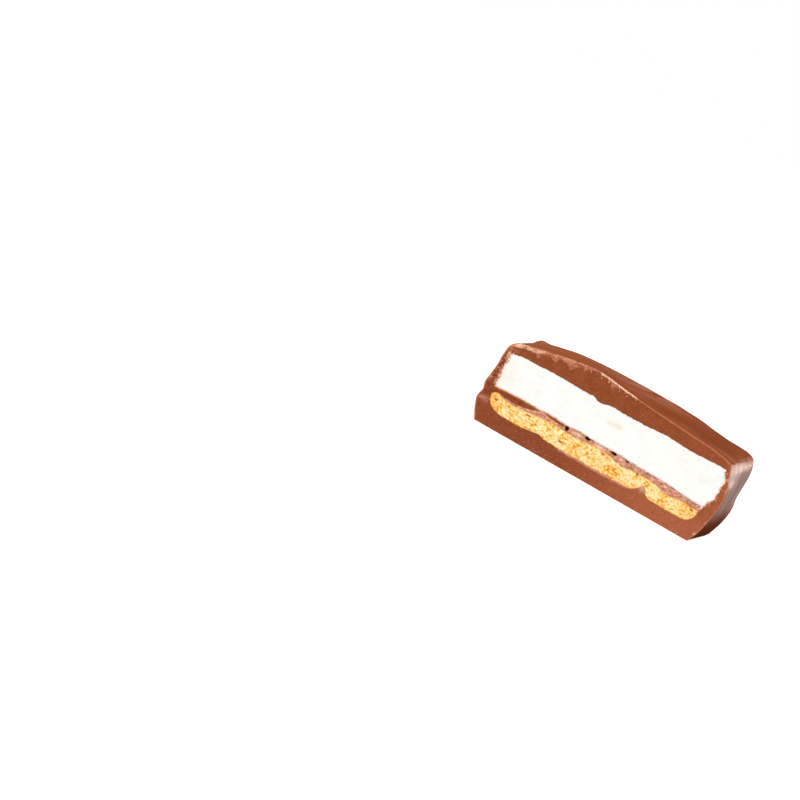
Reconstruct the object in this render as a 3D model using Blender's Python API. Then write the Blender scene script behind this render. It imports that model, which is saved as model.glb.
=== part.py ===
"""Half of a chocolate covered smore, cut straight through the middle.

A square graham cracker carries a thin layer of chocolate and a slab of marshmallow, and
milk chocolate coats the whole stack. A knife has gone through it, so one side shows the
layers and the coat closes the other three sides, the top and the foot.

X runs along the cut face, Y from the cut face (at -Y) into the piece, Z up from the flat
foot. Everything is in metres, and the origin is the middle of the foot.

Every piece is a row of closed outlines, each with the same number of points: they start
on the middle line of one end face, spread to its rim, run along the piece and close again
on the middle line of the other end face.
"""

import math

import bmesh
import bpy
import numpy as np
from mathutils import Vector, noise

MM = 0.001

# Driving sizes
LENGTH = 71.2 * MM
DEPTH = 34.0 * MM
CUT_Y = -DEPTH / 2
BACK_Y = DEPTH / 2
COAT_AT_BACK = 2.8 * MM
BACK_EDGE_RADIUS = 4.5 * MM
FOOT_TUCK = 2.2 * MM
FOOT_TUCK_HEIGHT = 10.0 * MM
FIT_GAP = 0.3 * MM

# The rim of the cut face as (x, z): up the right end, over the top, down the left end
CUT_RIGHT = np.array(
    [
        *[(32.2, 0.0), (33.7, 3.0), (34.6, 6.5), (35.3, 10.5), (35.6, 14.5)],
        *[(35.3, 16.6), (34.5, 19.0), (33.8, 21.2), (33.1, 23.1)],
    ]
) * MM
CUT_TOP = np.array(
    [
        *[(33.1, 23.1), (31.0, 23.75), (27.8, 24.3), (19.8, 25.0), (9.8, 25.65), (-0.2, 26.75)],
        *[(-10.7, 27.75), (-16.2, 27.05), (-22.2, 26.0), (-28.2, 24.6)],
        *[(-32.2, 23.55), (-33.6, 22.7), (-34.2, 21.5)],
    ]
) * MM
CUT_LEFT = np.array(
    [
        *[(-34.2, 21.5), (-34.5, 19.5), (-34.6, 16.0), (-35.1, 12.8), (-35.45, 10.4)],
        *[(-35.05, 8.3), (-35.6, 6.3), (-34.9, 3.6), (-33.15, 0.0)],
    ]
) * MM

# The same three stretches where the uncut side turns down
BACK_RIGHT = np.array(
    [
        *[(33.2, 0.0), (34.5, 4.0), (35.2, 9.0), (34.9, 11.8)],
        *[(35.1, 15.5), (35.2, 19.0), (34.9, 21.4), (34.5, 22.45), (33.9, 23.25)],
    ]
) * MM
BACK_TOP = np.array(
    [
        *[(33.9, 23.25), (33.1, 23.8), (31.9, 24.2), (29.3, 24.5), (24.8, 24.8), (20.3, 25.3)],
        *[(15.8, 26.0), (8.8, 26.35), (-4.2, 26.3), (-14.2, 26.0), (-22.2, 25.4)],
        *[(-27.2, 24.45), (-30.7, 23.65), (-32.7, 23.1), (-33.9, 22.2)],
    ]
) * MM
BACK_LEFT = np.array(
    [(-33.9, 22.2), (-34.9, 20.6), (-35.4, 18.0), (-35.6, 14.0), (-35.6, 9.0), (-34.8, 4.0), (-33.6, 0.0)]
) * MM

# Heights of the stack's seams along X, as (x, z)
MALLOW_TOP = np.array(
    [
        *[(-32.6, 21.1), (-28.2, 21.1), (-19.2, 21.35), (-9.2, 21.2), (-7.1, 21.2)],
        *[(-6.3, 20.75), (-5.2, 20.6), (-3.9, 20.75), (-2.8, 21.05), (1.8, 21.1)],
        *[(8.8, 21.2), (15.8, 21.5), (18.4, 21.3), (32.8, 21.5)],
    ]
) * MM
MALLOW_UNDER = np.array(
    [
        *[(-30.9, 10.7), (-28.2, 10.95), (-26.2, 11.05), (-19.2, 11.0), (-14.2, 11.15), (-11.0, 10.9)],
        *[(-5.8, 11.1), (-1.7, 10.85), (4.8, 10.95), (9.8, 10.7), (20.3, 10.45), (24.5, 10.15), (28.8, 9.8)],
    ]
) * MM
CRACKER_TOP = np.array(
    [
        *[(-32.4, 8.3), (-31.2, 9.4), (-29.0, 8.9), (-24.2, 8.65), (-19.2, 9.15), (-13.1, 9.55), (-8.6, 9.3)],
        *[(2.8, 9.65), (7.6, 8.75), (12.1, 9.15), (17.8, 9.0), (21.8, 8.05), (24.8, 8.4), (31.2, 8.3)],
    ]
) * MM
CRACKER_UNDER = 4.4 * MM

# The docker pins pinch the cracker in two lines: (x, rise, reach to the left, reach to the right)
PINCHES = np.array([(-16.0, 0.8, 6.0, 5.0), (15.6, 2.85, 4.6, 2.8)]) * MM
PINCH_SHARES = (0.0, 0.25, 0.75, 1.0)

# Ends of the stack as (z, x), and its round corners as (x of the end, reach along X, rise)
STACK_RIGHT = np.array(
    [
        *[(4.4, 31.2), (8.2, 31.3), (9.4, 31.7), (11.6, 32.5), (12.8, 33.3), (14.6, 33.7)],
        *[(16.1, 33.45), (17.6, 33.8), (18.8, 33.6), (20.4, 32.8), (21.4, 32.5)],
    ]
) * MM
STACK_LEFT = np.array(
    [
        *[(4.4, -31.6), (7.3, -32.0), (8.6, -32.2), (11.5, -32.5)],
        *[(14.0, -32.4), (15.8, -32.7), (18.0, -32.4), (21.2, -32.3)],
    ]
) * MM
CRACKER_CORNERS = np.array([(-31.8, 5.4, 2.8), (31.2, 3.6, 3.2)]) * MM
MALLOW_CORNERS = np.array([(-32.5, 4.4, 1.5), (33.0, 1.4, 0.8)]) * MM

# Air trapped under the marshmallow, where the cut opens it: (x, z, radius)
AIR_POCKETS = np.array([(-9.85, 10.2, 0.45), (-3.6, 10.55, 0.5), (4.45, 10.3, 0.5), (8.6, 10.1, 0.35)]) * MM
POCKET_SHAPE = (1.3, 1.2, 0.75)

# Relief: how far each kind stands out or sinks in, and how far apart its crests are
RIPPLE = (0.4 * MM, 3.6 * MM)
FOLD = (0.45 * MM, 8.0 * MM)
CRUMB = (0.5 * MM, 1.9 * MM)
CUT_WAVE = (0.1 * MM, 6.0 * MM)
FOAM_WAVE = (0.15 * MM, 7.0 * MM)
CHIP = (0.45 * MM, 3.0 * MM)

# The coat ran up to a small peak at the back left corner: (x, y), height and radius
PEAK_AT = (-32.2 * MM, 10.5 * MM)
PEAK_HEIGHT = 0.5 * MM
PEAK_RADIUS = 1.8 * MM

# Milk chocolate, marshmallow foam and baked cracker, as linear colours
CHOCOLATE = (0.33, 0.088, 0.036)
SEAM_CHOCOLATE = (0.44, 0.15, 0.08)
MARSHMALLOW = (0.94, 0.93, 0.88)
CRACKER = (0.90, 0.52, 0.17)


def smooth_step(t):
    t = np.clip(t, 0.0, 1.0)
    return t * t * (3.0 - 2.0 * t)


def through(knots, values, at):
    """The smooth curve that has these values at these knots, read at other places."""
    slopes = np.gradient(values, knots, axis=0)
    at = np.clip(at, knots[0], knots[-1])
    k = np.clip(np.searchsorted(knots, at, side="right") - 1, 0, len(knots) - 2)
    span = knots[k + 1] - knots[k]
    u = (at - knots[k]) / span
    if values.ndim == 2:
        u, span = u[:, None], span[:, None]
    start = (1 + 2 * u) * (1 - u) ** 2 * values[k] + u * (1 - u) ** 2 * span * slopes[k]
    end = u**2 * (3 - 2 * u) * values[k + 1] + u**2 * (u - 1) * span * slopes[k + 1]
    return start + end


def stretch(stations, segments):
    """Points along the smooth curve through the stations, without the last one."""
    steps = np.linalg.norm(np.diff(stations, axis=0), axis=1)
    along = np.concatenate([[0.0], np.cumsum(steps)])
    return through(along, stations, np.linspace(0.0, along[-1], segments + 1))[:-1]


def height(stations, x):
    """Height of a seam that is given as (x, z) stations."""
    order = np.argsort(stations[:, 0])
    return through(stations[order, 0], stations[order, 1], x)


def corner_rise(corners, x):
    """How far a seam has turned away from level in its round end corners."""
    rise = np.zeros_like(x)
    for end, reach, full in corners:
        into = np.clip(1.0 - np.abs(end - x) / reach, 0.0, 1.0)
        rise += full * (1.0 - np.sqrt(1.0 - into**2))
    return rise


def cracker_under(x):
    """Underside of the cracker: flat panels that curl up to each pinched line."""
    rise = corner_rise(CRACKER_CORNERS, x)
    for middle, depth, left_reach, right_reach in PINCHES:
        reach = np.where(x < middle, left_reach, right_reach)
        rise += depth * np.clip(1.0 - np.abs(x - middle) / reach, 0.0, 1.0) ** 2
    return CRACKER_UNDER + rise


def cracker_top(x):
    return height(CRACKER_TOP, x)


def mallow_under(x):
    return height(MALLOW_UNDER, x)


def mallow_top(x):
    return height(MALLOW_TOP, x) - corner_rise(MALLOW_CORNERS, x)


def coat_loop(right, top, left, along, up):
    """Outline of the coat: the foot from left to right, then the three given stretches."""
    foot = np.linspace(left[-1], right[0], along + 1)[:-1]
    return np.concatenate([foot, stretch(right, up), stretch(top, along), stretch(left, up)])


def crowded(count, marks, reach):
    """Shares from 0 to 1 in this many steps, which crowd together around the marks."""
    u = np.linspace(0.0, 1.0, 401)
    density = 0.6 + sum(2.0 * np.exp(-(((u - mark) / reach) ** 2)) for mark in marks)
    total = np.concatenate([[0.0], np.cumsum((density[1:] + density[:-1]) / 2)])
    return np.interp(np.linspace(0.0, total[-1], count + 1), total, u)


def layer_loop(low, high, along, up):
    """Outline of a layer of the stack, between two seams and the ends of the stack."""
    across = crowded(along, PINCH_SHARES, 0.03)
    rise = crowded(up, (0.0, 1.0), 0.08)
    s = np.concatenate([across[:-1], np.ones(up), across[:0:-1], np.zeros(up)])
    t = np.concatenate([np.zeros(along), rise[:-1], np.ones(along), rise[:0:-1]])
    x = np.zeros_like(s)
    for _ in range(12):
        z = low(x) + t * (high(x) - low(x))
        left = through(STACK_LEFT[:, 0], STACK_LEFT[:, 1], z)
        right = through(STACK_RIGHT[:, 0], STACK_RIGHT[:, 1], z)
        x = left + s * (right - left)
    return np.stack([x, z], axis=1)


def normals_of(loop):
    """Outward normals of a closed outline that runs anticlockwise."""
    run = np.roll(loop, -1, axis=0) - np.roll(loop, 1, axis=0)
    normal = np.stack([run[:, 1], -run[:, 0]], axis=1)
    return normal / np.linalg.norm(normal, axis=1)[:, None]


def swollen(loop, gap):
    """The outline moved outwards by a gap, with mitred corners."""
    run = np.roll(loop, -1, axis=0) - loop
    side = np.stack([run[:, 1], -run[:, 0]], axis=1)
    side /= np.linalg.norm(side, axis=1)[:, None]
    both = side + np.roll(side, 1, axis=0)
    return loop + both * (2.0 * gap / np.maximum((both**2).sum(axis=1), 0.9))[:, None]


def core_of(loop, along, up):
    """Where each point of an outline ends on the middle line, level with its partner on the other side."""
    n = len(loop)
    first = along + up // 2
    partner = (2 * first - np.arange(n)) % n
    middle = (loop + loop[partner]) / 2
    reach = np.ptp(loop[:, 1]) / 2
    middle[:, 0] = np.clip(middle[:, 0], loop[:, 0].min() + reach, loop[:, 0].max() - reach)
    return middle


def ring(loop, y):
    """An outline in the XZ plane set at a depth, which may differ from point to point."""
    return np.stack([loop[:, 0], np.broadcast_to(y, len(loop)), loop[:, 1]], axis=1)


def closing_faces(n, along, up, offset):
    """Faces that close a flat outline by pairing the points on its two sides."""
    first = along + up // 2
    pairs = [((first - k) % n, (first + k) % n) for k in range(n // 2 + 1)]
    faces = []
    for (a, b), (c, d) in zip(pairs, pairs[1:]):
        corners = dict.fromkeys((a, b, d, c))
        faces.append([offset + corner for corner in corners])
    return faces


def piece(name, rings, along, up, material):
    """The solid through a row of outlines, closed at both ends."""
    n = len(rings[0])
    faces = closing_faces(n, along, up, 0)
    for r in range(len(rings) - 1):
        base = r * n
        faces += [[base + i, base + n + i, base + n + (i + 1) % n, base + (i + 1) % n] for i in range(n)]
    faces += [face[::-1] for face in closing_faces(n, along, up, (len(rings) - 1) * n)]
    mesh = bpy.data.meshes.new(name)
    mesh.from_pydata(np.concatenate(rings).tolist(), [], faces)
    mesh.materials.append(material)
    mesh.shade_smooth()
    mesh.set_sharp_from_angle(angle=math.radians(40))
    obj = bpy.data.objects.new(name, mesh)
    bpy.context.scene.collection.objects.link(obj)
    return obj


def matter(name, colour, roughness):
    """A plain finish for one of the foods."""
    material = bpy.data.materials.new(name)
    material.use_nodes = True
    shader = material.node_tree.nodes["Principled BSDF"]
    shader.inputs["Base Color"].default_value = (*colour, 1.0)
    shader.inputs["Roughness"].default_value = roughness
    shader.inputs["Metallic"].default_value = 0.0
    return material


def noise_at(points, scale):
    """Smooth noise between about -1 and 1, with features of the given size."""
    return np.array([noise.noise(Vector(p) / scale) for p in points])


def cut_face(loop, core, shares, relief):
    """The rings of a cut face, from its middle line out to its rim, pressed in by the relief."""
    rings = []
    for share in shares:
        flat = ring(loop + (core - loop) * share, CUT_Y)
        flat[:, 1] += relief(flat)
        rings.append(flat)
    return rings


def mallow_relief(points):
    depth, spacing = FOAM_WAVE
    return 0.2 * MM + depth * noise_at(points, spacing)


def crumb_relief(points):
    """The crumb breaks open into pits."""
    depth, spacing = CRUMB
    return 0.25 * MM + depth * np.clip(noise_at(points, spacing), -0.4, 0.9)


def chocolate_relief(points):
    depth, spacing = CUT_WAVE
    return 0.12 * MM + depth * noise_at(points, spacing)


def layer_piece(name, low, high, along, up, shares, relief, material):
    """One layer of the stack, from the cut face to the coat at the back."""
    loop = layer_loop(low, high, along, up)
    core = core_of(loop, along, up)
    back = BACK_Y - COAT_AT_BACK
    rings = cut_face(loop, core, shares, relief)
    for y, share in ((CUT_Y + 2.0 * MM, 0.0), (back - 1.5 * MM, 0.0), (back, 0.3), (back, 0.9)):
        rings.append(ring(loop + (core - loop) * share, y))
    return piece(name, rings, along, up, material)


def skin_relief(points, normals):
    """How far the coat stands out: long ripples on top, soft folds on the walls, a peak at one corner."""
    x, y, z = points.T
    away_from_cut = smooth_step((y - CUT_Y) / (5.0 * MM))
    on_top = smooth_step((normals[:, 2] - 0.35) / 0.4)
    ripples = RIPPLE[0] * noise_at(points * (0.15, 1.0, 0.15), RIPPLE[1])
    folds = FOLD[0] * noise_at(points * (1.0, 1.0, 0.4), FOLD[1])
    from_peak = np.hypot(x - PEAK_AT[0], y - PEAK_AT[1])
    peak = PEAK_HEIGHT * np.exp(-((from_peak / PEAK_RADIUS) ** 2))
    on_foot = smooth_step((z - 0.4 * MM) / (3.0 * MM))
    return away_from_cut * on_foot * (on_top * (ripples + peak) + (1 - on_top) * folds)


def foot_share(loop):
    """How much of the back's rounding each point takes: little at the crisp foot, all of it higher up."""
    return 0.3 + 0.7 * smooth_step(loop[:, 1] / (7.0 * MM))


def tuck_at(loop):
    """How far the back draws in towards the foot."""
    return FOOT_TUCK * (1 - np.clip(loop[:, 1] / FOOT_TUCK_HEIGHT, 0, 1)) ** 2


def chips(loop, normals):
    """The knife chips the rim of the cut, most of all on the left half of the top."""
    x = loop[:, 0]
    rough_stretch = smooth_step((-3.0 * MM - x) / (4.0 * MM)) * (loop[:, 1] > 12.0 * MM)
    depth = (0.15 * MM + CHIP[0] * rough_stretch) * (0.7 + 0.6 * noise_at(ring(loop, 0.0), CHIP[1]))
    return loop - normals * (depth * (loop[:, 1] > 1.0 * MM))[:, None]


def fill_box(rings):
    """Stretch the coat by the last few hundredths of a millimetre to its driving length and depth."""
    everything = np.concatenate(rings)
    left, right = everything[:, 0].min(), everything[:, 0].max()
    deep = everything[:, 1].max()
    for points in rings:
        points[:, 0] = (points[:, 0] - (left + right) / 2) * LENGTH / (right - left)
        points[:, 1] = CUT_Y + (points[:, 1] - CUT_Y) * DEPTH / (deep - CUT_Y)


def build_coat(material, along=52, up=12):
    """The coat, with the hollow that the stack fills."""
    cut = coat_loop(CUT_RIGHT, CUT_TOP, CUT_LEFT, along, up)
    back = coat_loop(BACK_RIGHT, BACK_TOP, BACK_LEFT, along, up)
    hollow = layer_loop(cracker_under, mallow_top, along, up)
    core = core_of(hollow, along, up)
    hollow = swollen(hollow, FIT_GAP)
    floor_y = BACK_Y - COAT_AT_BACK + FIT_GAP
    rings = [ring(hollow + (core - hollow) * share, floor_y) for share in (0.9, 0.0)]
    rings.append(ring(hollow, CUT_Y + 2.0 * MM))

    rim = chips(cut, normals_of(cut))
    for share in (0.0, 0.3, 0.65):
        flat = ring(hollow + (rim - hollow) * share, CUT_Y)
        flat[:, 1] += chocolate_relief(flat)
        rings.append(flat)
    rings.append(ring(rim, CUT_Y))

    straight = DEPTH - BACK_EDGE_RADIUS
    stations = [(y, 0.0) for y in np.linspace(0.7 * MM, straight, 18)]
    stations += [(straight, turn) for turn in np.radians((25.0, 50.0, 72.0, 90.0))]
    centre = core_of(back, along, up)
    for run, turn in stations:
        share = smooth_step(run / (straight * 0.9))
        loop = cut + (back - cut) * share
        normal = normals_of(loop)
        inward = centre - loop
        inward /= np.linalg.norm(inward, axis=1)[:, None]
        inset = BACK_EDGE_RADIUS * (1 - math.cos(turn)) * foot_share(loop)
        loop = loop + inward * inset[:, None]
        reach = (run + BACK_EDGE_RADIUS * math.sin(turn)) / DEPTH
        points = ring(loop, CUT_Y + reach * (DEPTH - tuck_at(loop)))
        outward = ring(normal * math.cos(turn), math.sin(turn))
        points += outward * skin_relief(points, outward)[:, None]
        points[:, 2] = np.maximum(points[:, 2], 0.0)
        rings.append(points)

    last = rings[-1]
    facing_back = np.array([(0.0, 1.0, 0.0)] * len(last))
    for share in (0.3, 0.6, 0.92):
        loop = last[:, [0, 2]] + (centre - last[:, [0, 2]]) * share
        points = ring(loop, BACK_Y - tuck_at(loop))
        points += facing_back * skin_relief(points, facing_back)[:, None]
        rings.append(points)
    fill_box(rings)
    return piece("chocolate_coating", rings, along, up, material)


def carve_ball(obj, centre, radius):
    """Take a small, slightly flattened ball out of a solid."""
    mesh = bpy.data.meshes.new(obj.name + "_bubble")
    shell = bmesh.new()
    bmesh.ops.create_icosphere(shell, subdivisions=2, radius=radius)
    shell.to_mesh(mesh)
    shell.free()
    bubble = bpy.data.objects.new(mesh.name, mesh)
    bubble.location = centre
    bubble.scale = POCKET_SHAPE
    bubble.hide_render = True
    bubble.display_type = "WIRE"
    bpy.context.scene.collection.objects.link(bubble)
    cut = obj.modifiers.new(mesh.name, "BOOLEAN")
    cut.operation = "DIFFERENCE"
    cut.solver = "EXACT"
    cut.object = bubble


def build_cracker(material):
    """The baked cracker, its underside pinched by the docker pins."""
    shares = (0.92, 0.7, 0.45, 0.2, 0.0)
    return layer_piece("graham_cracker", cracker_under, cracker_top, 52, 6, shares, crumb_relief, material)


def build_seam(material):
    """The chocolate that glues the marshmallow to the cracker."""

    def low(x):
        return cracker_top(x) + FIT_GAP

    def high(x):
        return mallow_under(x) - FIT_GAP

    seam = layer_piece("chocolate_layer", low, high, 40, 2, (0.85, 0.4, 0.0), chocolate_relief, material)
    for x, z, radius in AIR_POCKETS:
        carve_ball(seam, (x, CUT_Y, z), radius)
    return seam


def build_mallow(material):
    """The slab of marshmallow."""
    shares = (0.93, 0.6, 0.3, 0.0)
    return layer_piece("marshmallow", mallow_under, mallow_top, 34, 8, shares, mallow_relief, material)


def clear_scene():
    for obj in list(bpy.data.objects):
        bpy.data.objects.remove(obj, do_unlink=True)


def main():
    clear_scene()
    chocolate = matter("milk_chocolate", CHOCOLATE, 0.35)
    seam_chocolate = matter("seam_chocolate", SEAM_CHOCOLATE, 0.55)
    marshmallow = matter("marshmallow_foam", MARSHMALLOW, 0.75)
    cracker = matter("baked_cracker", CRACKER, 0.85)
    build_coat(chocolate)
    build_mallow(marshmallow)
    build_seam(seam_chocolate)
    build_cracker(cracker)


main()
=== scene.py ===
"""Looks of half a chocolate covered smore, cut through the middle.

Glossy poured milk chocolate outside, matt cut chocolate, torn marshmallow and porous graham
cracker on the cut face. X runs along the cut face, Y from it into the piece, Z up.
"""

import math

import bmesh
import bpy
import numpy as np
from mathutils import Euler, Matrix, Vector, noise

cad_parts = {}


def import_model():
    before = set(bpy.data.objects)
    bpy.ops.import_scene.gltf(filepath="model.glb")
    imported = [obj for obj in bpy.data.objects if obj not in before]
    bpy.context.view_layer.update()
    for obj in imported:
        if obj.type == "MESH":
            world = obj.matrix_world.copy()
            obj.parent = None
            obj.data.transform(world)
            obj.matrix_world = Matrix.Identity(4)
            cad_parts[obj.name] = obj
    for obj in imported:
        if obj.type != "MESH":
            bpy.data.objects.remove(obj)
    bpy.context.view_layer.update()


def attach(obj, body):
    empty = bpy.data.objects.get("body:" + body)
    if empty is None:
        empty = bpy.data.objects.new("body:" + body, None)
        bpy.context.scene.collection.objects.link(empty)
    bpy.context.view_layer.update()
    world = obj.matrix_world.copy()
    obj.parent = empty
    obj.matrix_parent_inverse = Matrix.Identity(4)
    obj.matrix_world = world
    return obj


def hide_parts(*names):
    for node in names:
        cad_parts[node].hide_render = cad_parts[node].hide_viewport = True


MM = 0.001

# Sizes of the piece
LENGTH = 71.2 * MM
DEPTH = 34.0 * MM
CUT_Y = -DEPTH / 2
BACK_Y = DEPTH / 2
COAT_AT_BACK = 2.8 * MM
BACK_EDGE_RADIUS = 4.5 * MM
FOOT_TUCK = 2.2 * MM
FOOT_TUCK_HEIGHT = 10.0 * MM

# The rim of the cut face as (x, z): up the right end, over the top, down the left end
CUT_RIGHT = np.array(
    [
        *[(32.2, 0.0), (33.7, 3.0), (34.6, 6.5), (35.3, 10.5), (35.6, 14.5)],
        *[(35.3, 16.6), (34.5, 19.0), (33.8, 21.2), (33.1, 23.1)],
    ]
) * MM
CUT_TOP = np.array(
    [
        *[(33.1, 23.1), (31.0, 23.75), (27.8, 24.3), (19.8, 25.0), (9.8, 25.65), (-0.2, 26.75)],
        *[(-10.7, 27.75), (-16.2, 27.05), (-22.2, 26.0), (-28.2, 24.6)],
        *[(-32.2, 23.55), (-33.6, 22.7), (-34.2, 21.5)],
    ]
) * MM
CUT_LEFT = np.array(
    [
        *[(-34.2, 21.5), (-34.5, 19.5), (-34.6, 16.0), (-35.1, 12.8), (-35.45, 10.4)],
        *[(-35.05, 8.3), (-35.6, 6.3), (-34.9, 3.6), (-33.15, 0.0)],
    ]
) * MM

# The same three stretches where the uncut side turns down
BACK_RIGHT = np.array(
    [
        *[(33.2, 0.0), (34.5, 4.0), (35.2, 9.0), (34.9, 11.8)],
        *[(35.1, 15.5), (35.2, 19.0), (34.9, 21.4), (34.5, 22.45), (33.9, 23.25)],
    ]
) * MM
BACK_TOP = np.array(
    [
        *[(33.9, 23.25), (33.1, 23.8), (31.9, 24.2), (29.3, 24.5), (24.8, 24.8), (20.3, 25.3)],
        *[(15.8, 26.0), (8.8, 26.35), (-4.2, 26.3), (-14.2, 26.0), (-22.2, 25.4)],
        *[(-27.2, 24.45), (-30.7, 23.65), (-32.7, 23.1), (-33.9, 22.2)],
    ]
) * MM
BACK_LEFT = np.array(
    [(-33.9, 22.2), (-34.9, 20.6), (-35.4, 18.0), (-35.6, 14.0), (-35.6, 9.0), (-34.8, 4.0), (-33.6, 0.0)]
) * MM

# Heights of the stack's seams along X, as (x, z)
MALLOW_TOP = np.array(
    [
        *[(-32.6, 21.1), (-28.2, 21.1), (-19.2, 21.35), (-9.2, 21.2), (-7.1, 21.2)],
        *[(-6.3, 20.75), (-5.2, 20.6), (-3.9, 20.75), (-2.8, 21.05), (1.8, 21.1)],
        *[(8.8, 21.2), (15.8, 21.5), (18.4, 21.3), (32.8, 21.5)],
    ]
) * MM
MALLOW_UNDER = np.array(
    [
        *[(-30.9, 10.7), (-28.2, 10.95), (-26.2, 11.05), (-19.2, 11.0), (-14.2, 11.15), (-11.0, 10.9)],
        *[(-5.8, 11.1), (-1.7, 10.85), (4.8, 10.95), (9.8, 10.7), (20.3, 10.45), (24.5, 10.15), (28.8, 9.8)],
    ]
) * MM
CRACKER_TOP = np.array(
    [
        *[(-32.4, 8.3), (-31.2, 9.4), (-29.0, 8.9), (-24.2, 8.65), (-19.2, 9.15), (-13.1, 9.55), (-8.6, 9.3)],
        *[(2.8, 9.65), (7.6, 8.75), (12.1, 9.15), (17.8, 9.0), (21.8, 8.05), (24.8, 8.4), (31.2, 8.3)],
    ]
) * MM
CRACKER_UNDER = 4.4 * MM

# The docker pins pinch the cracker in two lines: (x, rise, reach to the left, reach to the right)
PINCHES = np.array([(-16.0, 0.8, 6.0, 5.0), (15.6, 2.85, 4.6, 2.8)]) * MM
PINCH_SHARES = (0.0, 0.25, 0.75, 1.0)

# Ends of the stack as (z, x), and its round corners as (x of the end, reach along X, rise)
STACK_RIGHT = np.array(
    [
        *[(4.4, 31.2), (8.2, 31.3), (9.4, 31.7), (11.6, 32.5), (12.8, 33.3), (14.6, 33.7)],
        *[(16.1, 33.45), (17.6, 33.8), (18.8, 33.6), (20.4, 32.8), (21.4, 32.5)],
    ]
) * MM
STACK_LEFT = np.array(
    [
        *[(4.4, -31.6), (7.3, -32.0), (8.6, -32.2), (11.5, -32.5)],
        *[(14.0, -32.4), (15.8, -32.7), (18.0, -32.4), (21.2, -32.3)],
    ]
) * MM
CRACKER_CORNERS = np.array([(-31.8, 5.4, 2.8), (31.2, 3.6, 3.2)]) * MM
MALLOW_CORNERS = np.array([(-32.5, 4.4, 1.5), (33.0, 1.4, 0.8)]) * MM

# Air trapped under the marshmallow, where the cut opens it: (x, z, half width, half height)
AIR_POCKETS = np.array(
    [
        *[(-9.85, 10.2, 0.55, 0.7), (-3.6, 10.6, 0.8, 0.45), (4.45, 10.5, 0.85, 0.38)],
        *[(8.6, 10.4, 0.45, 0.22), (14.75, 10.45, 0.25, 0.16)],
    ]
) * MM

# Where the seam is dark: above this line, as (x, z); and its palest lumps: (x, z, half width, half height)
SEAM_DARK_ABOVE = np.array(
    [
        *[(-32.5, 8.5), (-31.0, 9.2), (-29.4, 9.1), (-24.7, 9.05), (-20.2, 9.9), (-17.0, 10.8)],
        *[(-15.6, 10.4), (-13.2, 10.15), (-11.1, 10.1)],
    ]
) * MM
SEAM_LUMPS = np.array(
    [
        *[(-6.6, 10.15, 1.3, 0.45), (0.4, 10.2, 1.4, 0.5), (3.0, 10.4, 0.3, 0.7), (6.8, 10.0, 0.8, 0.35)],
        *[(20.6, 9.6, 0.7, 0.35), (26.1, 9.5, 0.4, 0.3), (30.0, 9.2, 0.6, 0.3)],
    ]
) * MM

# Flakes hang from the chipped rim: (x, how much deeper, half width)
DROOPS = np.array(
    [(-26.2, 1.0, 0.6), (-22.0, 1.0, 0.8), (-16.5, 1.2, 1.5), (-12.4, 1.0, 0.5), (-3.9, 1.5, 1.3)]
) * MM

# Crests on the top fan out from a point in front of the cut, as (degrees, rise, half width in degrees),
# and two fine ones run along the rim by the right corner, as (from the cut, rise, half width)
FLOW_ORIGIN = (-12.0 * MM, CUT_Y - 4.0 * MM)
FLOW_CRESTS = ((13.0, 0.10 * MM, 1.3), (20.0, 0.05 * MM, 1.5), (47.0, 0.08 * MM, 3.0), (59.0, 0.11 * MM, 3.5))
RIM_CRESTS = np.array([(1.1, 0.07, 0.3), (2.3, 0.08, 0.35)]) * MM

# The coat ran up to a small peak at the back left corner: (x, y), height and radius
PEAK_AT = (-32.2 * MM, 10.5 * MM)
PEAK_HEIGHT = 0.5 * MM
PEAK_RADIUS = 1.8 * MM

# Where the top of the coat starts, and how far behind the cut face its skin does
TOP_ABOVE = 20.0 * MM
SKIN_BEHIND = 0.1 * MM
FIRST_SKIN_STEP = 1.3 * MM

# Spots on the cut coat: pale chips as (x, z, size), then dark pits and orange drips as
# (x, z, half width, half height)
CHIPS = np.array([(34.5, 19.2, 0.5), (35.6, 16.3, 0.6), (34.8, 6.6, 0.4), (33.2, 2.6, 0.4)]) * MM
PITS = np.array([(33.1, 21.1, 0.5, 0.35), (33.8, 20.4, 0.4, 0.5), (33.4, 11.6, 0.3, 0.3)]) * MM
DRIPS = np.array([(7.3, 4.0, 0.25, 0.35), (33.4, 20.6, 0.35, 0.5), (32.8, 11.4, 0.4, 0.6)]) * MM

# Small warm blotches on the marshmallow: (x, z)
BLOTCHES = np.array(
    [(-24.0, 15.0), (-21.0, 15.1), (20.5, 17.8), (22.1, 18.2), (27.3, 16.7), (14.2, 13.3)]
) * MM

# Holes in the crumb of the cracker, painted dark as shade: (x, z, half width, half height)
CRUMB_HOLES = np.array(
    [
        *[(-30.4, 7.5, 0.65, 0.4), (-20.6, 8.1, 1.0, 0.33), (-9.8, 6.2, 0.9, 0.4)],
        *[(2.0, 9.0, 0.6, 0.35), (12.4, 8.75, 0.45, 0.35), (29.4, 7.6, 0.6, 0.3)],
    ]
) * MM

# Seeds of the loose crumbs: their places, the shavings' shapes and the torn bits' shapes
PLACE_SEED, SHAVING_SEED, BIT_SEED = 7, 3, 5
FLOOR_HALF = 4.0

# The photograph's camera: distance, focal length in pixels of an 800 pixel frame, where the aim point shows
AIM = Vector((-0.2 * MM, 0.0, 10.83 * MM))
CAMERA_DISTANCE = 0.7
FOCAL_PIXELS = 2590.0
FRAME_PIXELS = 800
AIM_PIXEL = (613, 441)
CAMERA_AZIMUTH = math.radians(9.6)
CAMERA_ELEVATION = math.radians(8.5)
CAMERA_ROLL = math.radians(28.1)


# Curves and outlines


def smooth_step(t):
    t = np.clip(t, 0.0, 1.0)
    return t * t * (3.0 - 2.0 * t)


def after(x, start, width):
    """0 up to a place in millimetres, then a smooth rise to 1 over the given width."""
    return smooth_step((x - start * MM) / (width * MM))


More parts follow.
